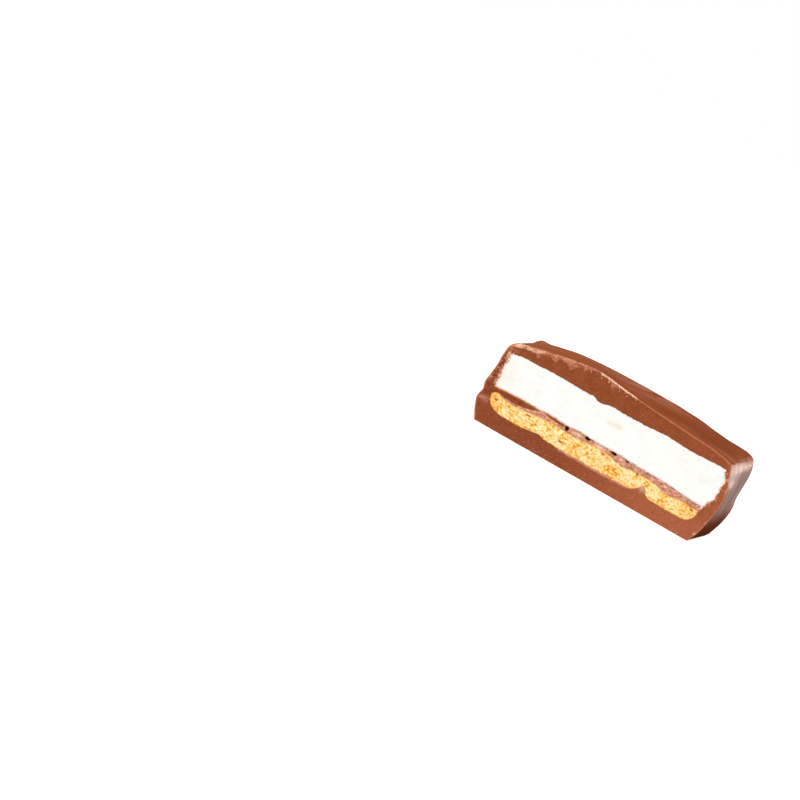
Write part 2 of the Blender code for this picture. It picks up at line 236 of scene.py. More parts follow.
def before(x, end, width):
    """1 at first, then a smooth fall to 0 over the given width, up to a place in millimetres."""
    return smooth_step((end * MM - x) / (width * MM))


def through(knots, values, at):
    """The smooth curve that has these values at these knots, read at other places."""
    slopes = np.gradient(values, knots, axis=0)
    at = np.clip(at, knots[0], knots[-1])
    k = np.clip(np.searchsorted(knots, at, side="right") - 1, 0, len(knots) - 2)
    span = knots[k + 1] - knots[k]
    u = (at - knots[k]) / span
    if values.ndim == 2:
        u, span = u[:, None], span[:, None]
    start = (1 + 2 * u) * (1 - u) ** 2 * values[k] + u * (1 - u) ** 2 * span * slopes[k]
    end = u**2 * (3 - 2 * u) * values[k + 1] + u**2 * (u - 1) * span * slopes[k + 1]
    return start + end


def stretch(stations, segments):
    """Points along the smooth curve through the stations, without the last one."""
    steps = np.linalg.norm(np.diff(stations, axis=0), axis=1)
    along = np.concatenate([[0.0], np.cumsum(steps)])
    return through(along, stations, np.linspace(0.0, along[-1], segments + 1))[:-1]


def height(stations, x):
    """Height of a seam that is given as (x, z) stations."""
    order = np.argsort(stations[:, 0])
    return through(stations[order, 0], stations[order, 1], x)


def corner_rise(corners, x):
    """How far a seam has turned away from level in its round end corners."""
    rise = np.zeros_like(x)
    for end, reach, full in corners:
        into = np.clip(1.0 - np.abs(end - x) / reach, 0.0, 1.0)
        rise += full * (1.0 - np.sqrt(1.0 - into**2))
    return rise


def cracker_under(x):
    """Underside of the cracker: flat panels that curl up to each pinched line."""
    rise = corner_rise(CRACKER_CORNERS, x)
    for middle, depth, left_reach, right_reach in PINCHES:
        reach = np.where(x < middle, left_reach, right_reach)
        rise += depth * np.clip(1.0 - np.abs(x - middle) / reach, 0.0, 1.0) ** 2
    return CRACKER_UNDER + rise


def cracker_top(x):
    return height(CRACKER_TOP, x)


def mallow_under(x):
    return height(MALLOW_UNDER, x)


def mallow_top(x):
    return height(MALLOW_TOP, x) - corner_rise(MALLOW_CORNERS, x)


def coat_loop(right, top, left, along, up):
    """Outline of the coat: the foot from left to right, then the three given stretches."""
    foot = np.linspace(left[-1], right[0], along + 1)[:-1]
    return np.concatenate([foot, stretch(right, up), stretch(top, along), stretch(left, up)])


def crowded(count, marks, reach):
    """Shares from 0 to 1 in this many steps, which crowd together around the marks."""
    u = np.linspace(0.0, 1.0, 401)
    density = 0.6 + sum(2.0 * np.exp(-(((u - mark) / reach) ** 2)) for mark in marks)
    total = np.concatenate([[0.0], np.cumsum((density[1:] + density[:-1]) / 2)])
    return np.interp(np.linspace(0.0, total[-1], count + 1), total, u)


def layer_loop(low, high, along, up):
    """Outline of a layer of the stack, between two seams and the ends of the stack."""
    across = crowded(along, PINCH_SHARES, 0.03)
    rise = crowded(up, (0.0, 1.0), 0.08)
    s = np.concatenate([across[:-1], np.ones(up), across[:0:-1], np.zeros(up)])
    t = np.concatenate([np.zeros(along), rise[:-1], np.ones(along), rise[:0:-1]])
    x = np.zeros_like(s)
    for _ in range(12):
        z = low(x) + t * (high(x) - low(x))
        left = through(STACK_LEFT[:, 0], STACK_LEFT[:, 1], z)
        right = through(STACK_RIGHT[:, 0], STACK_RIGHT[:, 1], z)
        x = left + s * (right - left)
    return np.stack([x, z], axis=1)


def normals_of(loop):
    """Outward normals of a closed outline that runs anticlockwise."""
    run = np.roll(loop, -1, axis=0) - np.roll(loop, 1, axis=0)
    normal = np.stack([run[:, 1], -run[:, 0]], axis=1)
    return normal / np.linalg.norm(normal, axis=1)[:, None]


def core_of(loop, along, up):
    """Where each point of an outline ends on the middle line, level with its partner on the other side."""
    n = len(loop)
    first = along + up // 2
    partner = (2 * first - np.arange(n)) % n
    middle = (loop + loop[partner]) / 2
    reach = np.ptp(loop[:, 1]) / 2
    middle[:, 0] = np.clip(middle[:, 0], loop[:, 0].min() + reach, loop[:, 0].max() - reach)
    return middle


def ring(loop, y):
    """An outline in the XZ plane set at a depth, which may differ from point to point."""
    return np.stack([loop[:, 0], np.broadcast_to(y, len(loop)), loop[:, 1]], axis=1)


def noise_at(points, scale):
    """Smooth noise between about -1 and 1, with features of the given size."""
    return np.array([noise.noise(p) for p in (points / scale).tolist()])


def torn(loop):
    """The same outline with the unevenness of a cut edge, coarse at the ends of the marshmallow."""
    flat = ring(loop, 0.0)
    x, z = loop.T
    ends = after(np.abs(x), 30.8, 1.6) * after(z, 10.5, 1.5)
    coarse = (0.12 + 0.28 * ends) * noise_at(flat + 0.3, 0.9 * MM)
    fine = (0.09 + 0.07 * ends) * noise_at(flat + 0.7, 0.35 * MM)
    return loop + normals_of(loop) * ((coarse + fine) * MM)[:, None]


def foot_share(loop):
    """How much of the back's rounding each point takes: little at the crisp foot, all of it higher up."""
    return 0.3 + 0.7 * smooth_step(loop[:, 1] / (7.0 * MM))


def tuck_at(loop):
    """How far the back draws in towards the foot."""
    return FOOT_TUCK * (1 - np.clip(loop[:, 1] / FOOT_TUCK_HEIGHT, 0, 1)) ** 2


# Meshes


def closing_faces(n, along, up, offset):
    """Faces that close a flat outline by pairing the points on its two sides."""
    first = along + up // 2
    pairs = [((first - k) % n, (first + k) % n) for k in range(n // 2 + 1)]
    faces = []
    for (a, b), (c, d) in zip(pairs, pairs[1:]):
        corners = dict.fromkeys((a, b, d, c))
        faces.append([offset + corner for corner in corners])
    return faces


def mesh_piece(name, vertices, faces, material, masks=(), sharp=60):
    """A mesh object with a finish and named masks, one value for each vertex."""
    mesh = bpy.data.meshes.new(name)
    mesh.from_pydata(vertices.tolist(), [], faces)
    mesh.materials.append(material)
    mesh.shade_smooth()
    mesh.set_sharp_from_angle(angle=math.radians(sharp))
    for mask, values in dict(masks).items():
        mesh.attributes.new(mask, "FLOAT", "POINT").data.foreach_set("value", values.astype(np.float32))
    obj = bpy.data.objects.new(name, mesh)
    bpy.context.scene.collection.objects.link(obj)
    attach(obj, "root")
    return obj


def ring_piece(name, rings, along, up, material, masks):
    """The solid through a row of outlines, closed at both ends."""
    n = len(rings[0])
    faces = closing_faces(n, along, up, 0)
    for r in range(len(rings) - 1):
        base = r * n
        faces += [[base + i, base + n + i, base + n + (i + 1) % n, base + (i + 1) % n] for i in range(n)]
    faces += [face[::-1] for face in closing_faces(n, along, up, (len(rings) - 1) * n)]
    joined = {mask: np.concatenate(values) for mask, values in masks.items()}
    return mesh_piece(name, np.concatenate(rings), faces, material, joined)


# Shader maths and finishes


class Value:
    """A socket of a shader's node tree, so that shader maths can be written as expressions."""

    def __init__(self, tree, socket):
        self.tree = tree
        self.socket = socket

    def node(self, kind, settings=None, inputs=None, output=0):
        """The output of another node in the same tree."""
        return add_node(self.tree, kind, settings, inputs, output)

    def maths(self, operation, *others, swap=False):
        values = [self, *others]
        if swap:
            values.reverse()
        return self.node("ShaderNodeMath", {"operation": operation}, dict(enumerate(values)))

    def __add__(self, other):
        return self.maths("ADD", other)

    def __mul__(self, other):
        return self.maths("MULTIPLY", other)

    def __sub__(self, other):
        return self.maths("SUBTRACT", other)

    def __rsub__(self, other):
        return self.maths("SUBTRACT", other, swap=True)

    __radd__ = __add__
    __rmul__ = __mul__

    def step(self, low, high):
        """0 below low, 1 above high and a smooth rise between them."""
        inputs = {"Value": self, "From Min": low, "From Max": high}
        return self.node("ShaderNodeMapRange", {"interpolation_type": "SMOOTHSTEP"}, inputs)

    def mix(self, low, high):
        """One colour where this value is 0 and another where it is 1."""
        settings = {"data_type": "RGBA", "clamp_factor": True}
        return self.node("ShaderNodeMix", settings, {"Factor": self, "A": low, "B": high}, "Result")

    def axis(self, name):
        """One of the three coordinates."""
        return self.node("ShaderNodeSeparateXYZ", None, {0: self}, name)

    def scaled(self, x, y, z):
        """Coordinates stretched along the axes."""
        return self.node("ShaderNodeVectorMath", {"operation": "MULTIPLY"}, {0: self, 1: (x, y, z)})

    def noise(self, size, detail=2.0, roughness=0.5):
        """Noise from 0 to 1 over these coordinates, with features of the given size."""
        inputs = {"Vector": self, "Scale": 1.0 / size, "Detail": detail, "Roughness": roughness}
        return self.node("ShaderNodeTexNoise", None, inputs)


def fill(socket, value):
    if socket.type == "RGBA" and len(value) == 3:
        value = (*value, 1.0)
    socket.default_value = value


def find_input(node, key):
    """An input by number, or by name among those in use."""
    if isinstance(key, int):
        return node.inputs[key]
    return next(socket for socket in node.inputs if socket.name == key and socket.enabled)


def add_node(tree, kind, settings=None, inputs=None, output=0):
    """A node with its settings made first, then its inputs, as the value of one of its outputs."""
    node = tree.nodes.new(kind)
    for key, value in (settings or {}).items():
        setattr(node, key, value)
    for key, value in (inputs or {}).items():
        socket = find_input(node, key)
        if isinstance(value, Value):
            tree.links.new(value.socket, socket)
        else:
            fill(socket, value)
    if isinstance(output, str):
        named = (socket for socket in node.outputs if socket.name == output and socket.enabled)
        return Value(tree, next(named))
    return Value(tree, node.outputs[output])


def new_material(name, constants):
    """A material, its principled shader and its object coordinates."""
    material = bpy.data.materials.new(name)
    material.use_nodes = True
    tree = material.node_tree
    shader = tree.nodes["Principled BSDF"]
    for key, value in constants.items():
        fill(shader.inputs[key], value)
    return material, shader, add_node(tree, "ShaderNodeTexCoord", output="Object")


def mask(place, name):
    """A named mask of the mesh."""
    return place.node("ShaderNodeAttribute", {"attribute_name": name}, output="Fac")


def finish(place, shader, bump_depth, bump=None, **values):
    """Connects what changes over a surface."""
    for key, value in values.items():
        place.tree.links.new(value.socket, shader.inputs[key.replace("_", " ")])
    if bump is not None:
        inputs = {"Height": bump, "Strength": 1.0, "Distance": bump_depth}
        normal = place.node("ShaderNodeBump", None, inputs, "Normal")
        place.tree.links.new(normal.socket, shader.inputs["Normal"])


def poured_chocolate():
    """The skin that set in the air: long flow lines on top, runs and a sheen down the ends, with painted
    shade towards the foot, a painted grainy sheen low on the ends, and painted highlights and painted shade
    on top.
    """
    constants = {"Specular IOR Level": 0.0, "Coat Roughness": 0.3}
    material, shader, place = new_material("poured_chocolate", constants)
    z = place.axis("Z")
    off_foot = z.step(1.0 * MM, 11.0 * MM)
    sheen = z.step(3.0 * MM, 14.0 * MM) * (1.0 - 0.7 * z.step(20.5 * MM, 24.0 * MM))
    top = mask(place, "top")
    along_top = place.scaled(0.04, 1.0, 0.3).noise(3.0 * MM, 1.0, 0.4)
    x = place.axis("X")
    at_ends = x.maths("ABSOLUTE").step(31.0 * MM, 34.0 * MM)
    down_walls = place.scaled(0.8, 1.0, 0.10).noise(2.0 * MM, 2.0, 0.5) - 0.5
    streaks = top * along_top + (1.0 - top) * (0.5 + down_walls * (0.3 + 0.7 * at_ends))
    patches = place.noise(9.0 * MM, 3.0)
    shade = streaks * 0.6 + patches * 0.4
    brown = shade.step(0.3, 0.7).mix((0.255, 0.055, 0.011), (0.345, 0.088, 0.026))
    # Painted shade between the pale crests and over the right of the top.
    shaded = (mask(place, "valley") * 0.55).mix(brown, (0.20, 0.040, 0.008))
    # Painted light: the left of the top is paler, as if lit more strongly from that side.
    thin = (top * (1.0 - x.step(-26.0 * MM, -2.0 * MM)) * 0.35).mix(shaded, (0.46, 0.145, 0.062))
    # Painted shade: the walls get darker towards the foot, more so on the ends.
    deep = ((1.0 - off_foot) * (1.0 - top) * (0.35 + 0.25 * at_ends)).mix(thin, (0.08, 0.026, 0.016))
    # Painted sheen: a grainy grey-pink reflection on the ends, low on the walls.
    painted_sheen_grain = at_ends * (1.0 - top) * z.step(5.0 * MM, 11.0 * MM) * place.noise(0.4 * MM, 2.0).step(0.3, 0.7)
    with_painted_sheen = (painted_sheen_grain * 0.45).mix(deep, (0.50, 0.32, 0.27))
    # Painted highlights: pale along the flow crests, over the far side of the top and behind the chipped left
    # rim.
    colour = (mask(place, "pale") * 0.42).mix(with_painted_sheen, (0.50, 0.23, 0.15))
    rough = 0.34 + 0.16 * streaks.step(0.35, 0.7)
    gloss = top * 0.35 + (1.0 - top) * sheen * (0.65 + 0.35 * streaks.step(0.35, 0.65))
    height = streaks * 0.5 + place.noise(0.35 * MM) * 0.04
    finish(place, shader, 0.10 * MM, height, Base_Color=colour, Roughness=rough, Coat_Weight=gloss)
    return material


def cut_chocolate():
    """The face that the knife left: matt, fine grained, pale where it chipped."""
    material, shader, place = new_material("cut_chocolate", {"Specular IOR Level": 0.12, "Roughness": 0.65})
    x = place.axis("X")
    grain = place.noise(0.28 * MM, 3.0, 0.7)
    clouds = place.noise(2.6 * MM, 4.0, 0.6)
    mottled = place.noise(0.6 * MM, 3.0, 0.6).step(0.35, 0.62)
    body = clouds.step(0.35, 0.65).mix((0.21, 0.045, 0.0105), (0.262, 0.060, 0.016))
    to_right = 0.08 + 0.92 * x.step(-14.0 * MM, 28.0 * MM)
    upper = ((1.0 - mask(place, "low")) * x.step(-4.0 * MM, 26.0 * MM) * 0.4).mix(body, (0.30, 0.070, 0.022))
    lower = (mask(place, "low") * (1.0 - to_right) * 0.5).mix(upper, (0.165, 0.032, 0.009))
    strip = 0.6 * x.step(31.0 * MM, 33.0 * MM)
    paler = (mask(place, "low") * to_right).maths("MAXIMUM", strip).mix(lower, (0.39, 0.112, 0.05))
    grained = (grain.step(0.38, 0.66) * 0.6).mix(paler, (0.35, 0.098, 0.036))
    pits = place.noise(0.55 * MM, 3.0, 0.6).step(0.56, 0.68)
    pitted = (pits * 0.45).mix(grained, (0.14, 0.031, 0.007))
    flecks = place.noise(0.5 * MM, 1.0).step(0.69, 0.74)
    flecked = (flecks * 0.45).mix(pitted, (0.60, 0.26, 0.15))
    darker = (mask(place, "dark") * (0.5 + 0.5 * mottled)).mix(flecked, (0.165, 0.037, 0.011))
    flaked = (mask(place, "flake") * (0.5 + 0.5 * mottled)).mix(darker, (0.50, 0.185, 0.105))
    smeared = (mask(place, "smear") * (0.7 + 0.3 * mottled)).mix(flaked, (0.60, 0.27, 0.185))
    # Partly painted highlight: the orange line along the rim's edge.
    rimmed = (mask(place, "rim") * (0.5 + 0.5 * mottled)).mix(smeared, (0.60, 0.185, 0.075))
    # Painted highlight along the rim and lip, with pale chips in the same mask.
    colour = (mask(place, "bright") * (0.4 + 0.6 * mottled)).mix(rimmed, (0.95, 0.61, 0.42))
    finish(place, shader, 0.06 * MM, grain + clouds * 0.5, Base_Color=colour)
    return material


def marshmallow_foam():
    """White foam that lets a little light in, with warm blotches."""
    constants = {"Roughness": 0.8, "Specular IOR Level": 0.25, "Subsurface Weight": 0.3}
    constants |= {"Subsurface Scale": 1.2 * MM, "Subsurface Radius": (1.0, 0.9, 0.75)}
    material, shader, place = new_material("marshmallow_foam", constants)
    pores = place.noise(0.45 * MM, 3.0, 0.6)
    clouds = place.noise(4.0 * MM, 2.0)
    white = clouds.step(0.35, 0.7).mix((0.875, 0.87, 0.83), (0.905, 0.905, 0.875))
    warm = place.noise(1.2 * MM, 2.0).step(0.62, 0.75)
    tinted = (warm * 0.12).mix(white, (0.85, 0.72, 0.58))
    blotches = mask(place, "blotch") * place.noise(0.8 * MM, 3.0).step(0.2, 0.5)
    blotched = blotches.mix(tinted, (0.84, 0.68, 0.51))
    smeared = mask(place, "smear") * place.noise(0.5 * MM, 3.0, 0.7).step(0.42, 0.62)
    colour = smeared.mix(blotched, (0.72, 0.43, 0.33))
    finish(place, shader, 0.04 * MM, pores + clouds * 0.5, Base_Color=colour)
    return material


def baked_cracker():
    """Pale crumb, full of small pores that baked to orange, browner towards its outside."""
    material, shader, place = new_material("baked_cracker", {"Roughness": 0.85, "Specular IOR Level": 0.2})
    x = place.axis("X")
    fine = place.noise(0.3 * MM, 3.0, 0.7)
    pores = place.scaled(0.9, 1.0, 1.0).noise(0.68 * MM, 3.0, 0.5) + mask(place, "rich") * 0.13
    crumb = fine.step(0.35, 0.65).mix((0.96, 0.73, 0.34), (0.98, 0.86, 0.56))
    tanned = (place.noise(2.2 * MM, 2.0).step(0.48, 0.66) * 0.5).mix(crumb, (0.95, 0.57, 0.15))
    around = (pores.step(0.38, 0.54) * 0.8).mix(tanned, (0.95, 0.60, 0.18))
    at_end = (1.0 - x.step(-31.5 * MM, -26.0 * MM)) * 0.65 + x.step(20.0 * MM, 31.0 * MM) * 0.35
    richer = at_end.mix(around, (0.92, 0.49, 0.10))
    toasted = (mask(place, "crust") * 0.75).mix(richer, (0.84, 0.40, 0.09))
    pored = (pores.step(0.52, 0.61) * 0.95).mix(toasted, (0.88, 0.37, 0.030))
    small = place.noise(0.36 * MM, 2.0, 0.5).step(0.55, 0.64)
    peppered = (small * 0.55).mix(pored, (0.87, 0.38, 0.040))
    deeper = (pores.step(0.60, 0.69) * 0.85).mix(peppered, (0.68, 0.23, 0.010))
    # Painted shade: the holes in the crumb are dark brown.
    holes_painted_dark = mask(place, "hole").mix(deeper, (0.44, 0.145, 0.010))
    finish(place, shader, 0.05 * MM, 1.0 - pores + fine * 0.4, Base_Color=holes_painted_dark)
    return material


def seam_chocolate():
    """The thin layer under the marshmallow: dark lenses, torn pink smears, pale lumps, and trapped air
    painted near black as shade.
    """
    material, shader, place = new_material("seam_chocolate", {"Roughness": 0.6, "Specular IOR Level": 0.15})
    torn_up = place.scaled(0.6, 1.0, 1.0).noise(0.5 * MM, 4.0, 0.65)
    specks = place.noise(0.45 * MM, 2.0).step(0.58, 0.68)
    dark = torn_up.step(0.35, 0.65).mix((0.18, 0.038, 0.008), (0.29, 0.074, 0.022))
    pink = torn_up.step(0.32, 0.66).mix((0.50, 0.165, 0.095), (0.80, 0.41, 0.29))
    speckled = (specks * 0.55).mix(pink, (0.88, 0.58, 0.47))
    mixed = mask(place, "pale").mix(dark, speckled)
    lumpy = mask(place, "lump").mix(mixed, (0.88, 0.58, 0.46))
    lined = mask(place, "line").mix(lumpy, (0.72, 0.26, 0.09))
    foamy = mask(place, "white").mix(lined, (0.84, 0.80, 0.75))
    # Painted shade: the open air pockets are near black.
    colour = mask(place, "air").mix(foamy, (0.012, 0.004, 0.002))
    finish(place, shader, 0.06 * MM, torn_up, Base_Color=colour)
    return material


def crumb_material(name, dark, light):
    """Broken chocolate between two colours."""
    material, shader, place = new_material(name, {"Roughness": 0.6, "Specular IOR Level": 0.4})
    colour = place.noise(0.6 * MM, 3.0).step(0.35, 0.65).mix(dark, light)
    finish(place, shader, 0.05 * MM, place.noise(0.2 * MM), Base_Color=colour)
    return material


# The pieces


def left_half(x):
    """1 along the stretch of the top rim that the knife chipped most."""
    return after(x, -34.5, 2.0) * before(x, -9.0, 3.0)


def middle_lip(x):
    """1 along the stretch by the middle where the rim stands up as a lip."""
    return after(x, -9.0, 1.0) * before(x, 3.4, 1.2)


def spot(points, x, z, wide, high):
    """A soft round spot on the cut face, 1 in its middle."""
    return np.exp(-(((points[:, 0] - x) / wide) ** 2) - ((points[:, 2] - z) / high) ** 2)


def flow_ridges(points):
    """Crests of the coat that ran off the top: their rise, painted highlights on and beside them, and painted
    shade between them.
    """
    x, y, _ = points.T
    from_cut = y - CUT_Y
    off_corner = before(x, 33.5, 3.0)
    out = np.stack([x, y], axis=1) - FLOW_ORIGIN
    angle = np.degrees(np.arctan2(out[:, 1], out[:, 0]))
    reach = np.hypot(*out.T)
    streaks = noise_at(np.stack([angle / 3.6, reach / (45.0 * MM), np.full_like(x, 0.5)], axis=1), 1.0)
    spread = after(reach, 10.0, 14.0)
    rise = 0.05 * MM * streaks * spread
    for at, tall, wide in FLOW_CRESTS:
        rise += tall * spread * np.exp(-(((angle - at) / wide) ** 2))
    # Painted highlights: pale along one crest, over the far side of the top and along the crests by the rim.
    pale = 0.7 * spread * np.clip(0.7 + streaks, 0.0, 1.0) * np.exp(-(((angle - 13.0) / 1.5) ** 2))
    far = smooth_step((angle - 40.0) / 10.0) * smooth_step((100.0 - angle) / 25.0) * spread
    pale = np.maximum(pale, far * np.clip(0.55 + 1.5 * streaks, 0.0, 1.0))
    for start, tall, wide in RIM_CRESTS:
        crest = np.exp(-(((from_cut - start) / wide) ** 2)) * after(x, 14.0, 12.0)
        rise += tall * crest
        pale = np.maximum(pale, 0.55 * crest)
    # Painted shade: between the crests and over the right of the top.
    valley = np.exp(-(((angle - 29.0) / 8.0) ** 2)) * after(x, 1.0, 8.0)
    valley = np.maximum(valley, after(x, 12.0, 10.0) * (1.0 - 0.4 * after(x, 28.0, 5.0)))
    return rise * off_corner, pale * before(x, 35.0, 2.0), valley * (1.0 - pale)


def skin_relief(points, normals):
    """How far the coat stands out: ripples on top, soft folds on the walls and a peak at one corner."""
    x, y, z = points.T
    away_from_cut = smooth_step((y - CUT_Y) / (5.0 * MM))
    on_top = smooth_step((normals[:, 2] - 0.35) / 0.4)
    ripples = 0.4 * MM * noise_at(points * (0.15, 1.0, 0.15), 3.6 * MM)
    folds = 0.45 * MM * noise_at(points * (1.0, 1.0, 0.4), 8.0 * MM)
    from_peak = np.hypot(x - PEAK_AT[0], y - PEAK_AT[1])
    peak = PEAK_HEIGHT * np.exp(-((from_peak / PEAK_RADIUS) ** 2))
    on_foot = after(z, 0.4, 3.0)
    soft = away_from_cut * on_foot * (on_top * (ripples + peak) + (1 - on_top) * folds)
    ridges, _, _ = flow_ridges(points)
    runs = 0.08 * MM * noise_at(points * (1.0, 1.0, 0.12), 2.6 * MM)
    near_cut = smooth_step((y - CUT_Y) / (0.8 * MM))
    return soft + near_cut * on_foot * (on_top * ridges + (1 - on_top) * runs)


def fill_box(rings):
    """Stretch the coat by the last few hundredths of a millimetre to its length and depth."""
    everything = np.concatenate(rings)
    left, right = everything[:, 0].min(), everything[:, 0].max()
    deep = everything[:, 1].max()
    for points in rings:
        points[:, 0] = (points[:, 0] - (left + right) / 2) * LENGTH / (right - left)
        points[:, 1] = CUT_Y + (points[:, 1] - CUT_Y) * DEPTH / (deep - CUT_Y)


def build_coat(poured, cut_finish, along=300, up=100):
    """The coat: its hollow, the cut face with its chipped rim, and the poured skin."""
    cut = coat_loop(CUT_RIGHT, CUT_TOP, CUT_LEFT, along, up)
    back = coat_loop(BACK_RIGHT, BACK_TOP, BACK_LEFT, along, up)
    plain_hollow = layer_loop(cracker_under, mallow_top, along, up)
    core = core_of(plain_hollow, along, up)
    hollow = torn(plain_hollow)
    n = len(cut)
    nothing = np.zeros(n)
    names = ("rim", "bright", "flake", "smear", "dark", "low", "top", "pale", "valley")
    rings, masks = [], {name: [] for name in names}

    def put(points, **values):
        rings.append(points)
        values["low"] = 1.0 - after(points[:, 2], 4.0, 8.0)
        for name in names:
            masks[name].append(values.get(name, nothing))

    floor_y = BACK_Y - COAT_AT_BACK
    for share in (0.9, 0.5, 0.0):
        put(ring(hollow + (core - hollow) * share, floor_y))
    put(ring(hollow, CUT_Y + 2.0 * MM))

    # The rim of the cut face stands a little inside the full outline, and the skin starts a little behind it
    normal = normals_of(cut)
    on_top = cut[:, 1] > TOP_ABOVE
    left = left_half(cut[:, 0]) * on_top
    lip = middle_lip(cut[:, 0]) * on_top
    rough = noise_at(ring(cut, 0.0), 2.2 * MM) + 0.5 * noise_at(ring(cut, 0.1), 0.7 * MM)
    off_foot = smooth_step(cut[:, 1] / (0.8 * MM))
    inset = (0.09 + left * (0.28 + 0.22 * rough) - 0.05 * lip) * MM * off_foot
    behind = (0.10 + (left + 0.6 * lip) * (0.5 + 0.4 * rough)) * MM
    unbroken = 1.0 - 0.6 * left * smooth_step((0.2 - noise_at(ring(cut, 0.2), 1.5 * MM)) / 0.3)
    rim = cut - normal * inset[:, None]
    white_end = before(cut[:, 0], -23.0, 4.0)
    into = hollow - rim
    width = np.linalg.norm(into, axis=1)
    into /= width[:, None]
    near = np.minimum(2.2 * MM, 0.7 * width)
    droop = sum(deeper * np.exp(-(((cut[:, 0] - x) / half) ** 2)) for x, deeper, half in DROOPS) * on_top
    flake_depth = (0.8 * left + 0.35 * lip) * MM + droop

    def cut_ring(from_rim):
        flat = ring(rim + into * from_rim[:, None], CUT_Y)
        x, _, z = flat.T
        from_hollow = width - from_rim
        coarse = noise_at(flat * (0.7, 1.0, 1.0), 1.2 * MM)
        fine = noise_at(flat, 0.45 * MM)
        patchy = smooth_step((coarse + 0.5 * fine + 0.3) / 0.4)
        soft = smooth_step((coarse + 0.3 * fine + 0.6) / 0.9)

        flake = smooth_step((flake_depth * (1.1 + 0.35 * fine) - from_rim) / (0.4 * MM)) * soft
        corner = spot(flat, -32.7 * MM, 21.7 * MM, 1.2 * MM, 1.0 * MM) * patchy
        thick = 0.10 + 0.12 * lip + 0.1 * fine + 0.12 * (x < -31.0 * MM) * (1.0 + (z > 8.0 * MM))
        # The line along the rim's edge is partly a painted highlight on the arris; the band, torn edges and
        # drips added to it below are orange colour.
        line = 1.0 - smooth_step((from_rim - thick * MM) / (0.12 * MM))
        line *= np.where(z < 0.7 * MM, 0.35 + 0.4 * patchy, 1.0)
        # Painted highlight: a pale band along the rim's edge, widest on the chipped left end and along the
        # lip; pale chips, the cleft and torn edges are added to the same mask.
        edge_width = (0.2 + left * (0.1 + 0.25 * white_end) + 0.12 * lip) * MM
        edge = 1.0 - smooth_step((from_rim - edge_width) / (0.15 * MM))
        bright = edge * (lip + left * (0.1 + 0.85 * white_end) * (0.3 + 0.7 * patchy))
        cleft = spot(flat, 15.5 * MM, 6.5 * MM, 0.8 * MM, 1.1 * MM)
        bright = np.maximum(bright, 0.3 * cleft)
        for at_x, at_z, size in CHIPS:
            bright = np.maximum(bright, 0.9 * spot(flat, at_x, at_z, size, 0.8 * size))

        wall = before(x, -31.9, 0.5)
        off_edges = after(from_rim, 0.3, 0.3) * after(from_hollow, 0.25, 0.3)
        upper = after(z, 10.8, 0.8) * before(z, 21.2, 0.8)
        middle = after(z, 7.2, 0.8) * before(z, 12.0, 1.0)
        band = wall * np.exp(-(((z - 15.4 * MM + 0.3 * coarse * MM) / (0.35 * MM)) ** 2))
        smudged = np.maximum(upper * (0.6 + 0.4 * patchy), 0.7 * middle * patchy)
        dark = wall * off_edges * smudged * (1.0 - band)
        for pit in PITS:
            dark = np.maximum(dark, spot(flat, *pit))

        ragged = (0.25 + 0.55 * patchy * soft) * MM
        torn_off = 1.0 - smooth_step((from_hollow - ragged) / (0.25 * MM))
        torn_edge = wall * upper * torn_off * (0.4 + 0.6 * patchy)
        torn_edge = np.maximum(torn_edge, 0.7 * wall * upper * smooth_step((fine - 0.2) / 0.15))
        bright = np.maximum(bright, 0.45 * torn_edge * patchy)
        # The pink along the ledge and the spot above it are partly painted highlight.
        ledge = wall * np.exp(-(((z - 6.4 * MM) / (0.7 * MM)) ** 2)) * (0.4 + 0.6 * patchy)
        ledge = np.maximum(ledge, 0.7 * spot(flat, -34.8 * MM, 12.2 * MM, 0.6 * MM, 0.8 * MM))
        below = (z < 7.4 * MM) * after(x, -10.5, 2.0) * before(x, 17.0, 1.0)
        smear = below * (1.0 - after(from_hollow, 0.35, 0.3)) * (0.6 + 0.4 * patchy)
        smear = np.maximum.reduce([smear, cleft, 0.7 * ledge])
        drip = sum(spot(flat, *place) for place in DRIPS)
        line = np.maximum.reduce([line, 0.8 * band, 0.85 * torn_edge, drip])

        relief = 0.12 + 0.08 * noise_at(flat, 6.0 * MM) + 0.02 * noise_at(flat, 0.6 * MM)
        relief += flake * (0.10 + 0.2 * coarse + 0.12 * fine) + dark * (0.1 + 0.3 * fine) - 0.15 * lip * edge
        flat[:, 1] += np.maximum(relief, 0.0) * MM
        put(flat, rim=line, bright=bright, flake=np.maximum(flake, corner), smear=smear, dark=dark)

    for share in (1.0, 0.985, 0.96, 0.93, 0.89, 0.84, 0.78, 0.7, 0.6, 0.5, 0.4, 0.3, 0.2, 0.1):
        cut_ring(near + (width - near) * share)
    for share in (1.0, 0.9, 0.8, 0.7, 0.6, 0.51, 0.43, 0.36, 0.3, 0.24, 0.185, 0.135, 0.09, 0.05, 0.02, 0.0):
        cut_ring(near * share)
    faces_of_cut = len(rings) - 1

    for share in (0.25, 0.5, 0.75):
        points = ring(rim + (cut - rim) * share, CUT_Y + SKIN_BEHIND + behind * share)
        points[:, 1] += 0.15 * (left + lip) * np.abs(noise_at(points, 0.5 * MM)) * MM
        # The rounded edge between cut and skin takes the rim colour and a painted highlight.
        put(points, rim=unbroken, bright=(lip + (0.15 + 0.7 * white_end) * left) * unbroken)

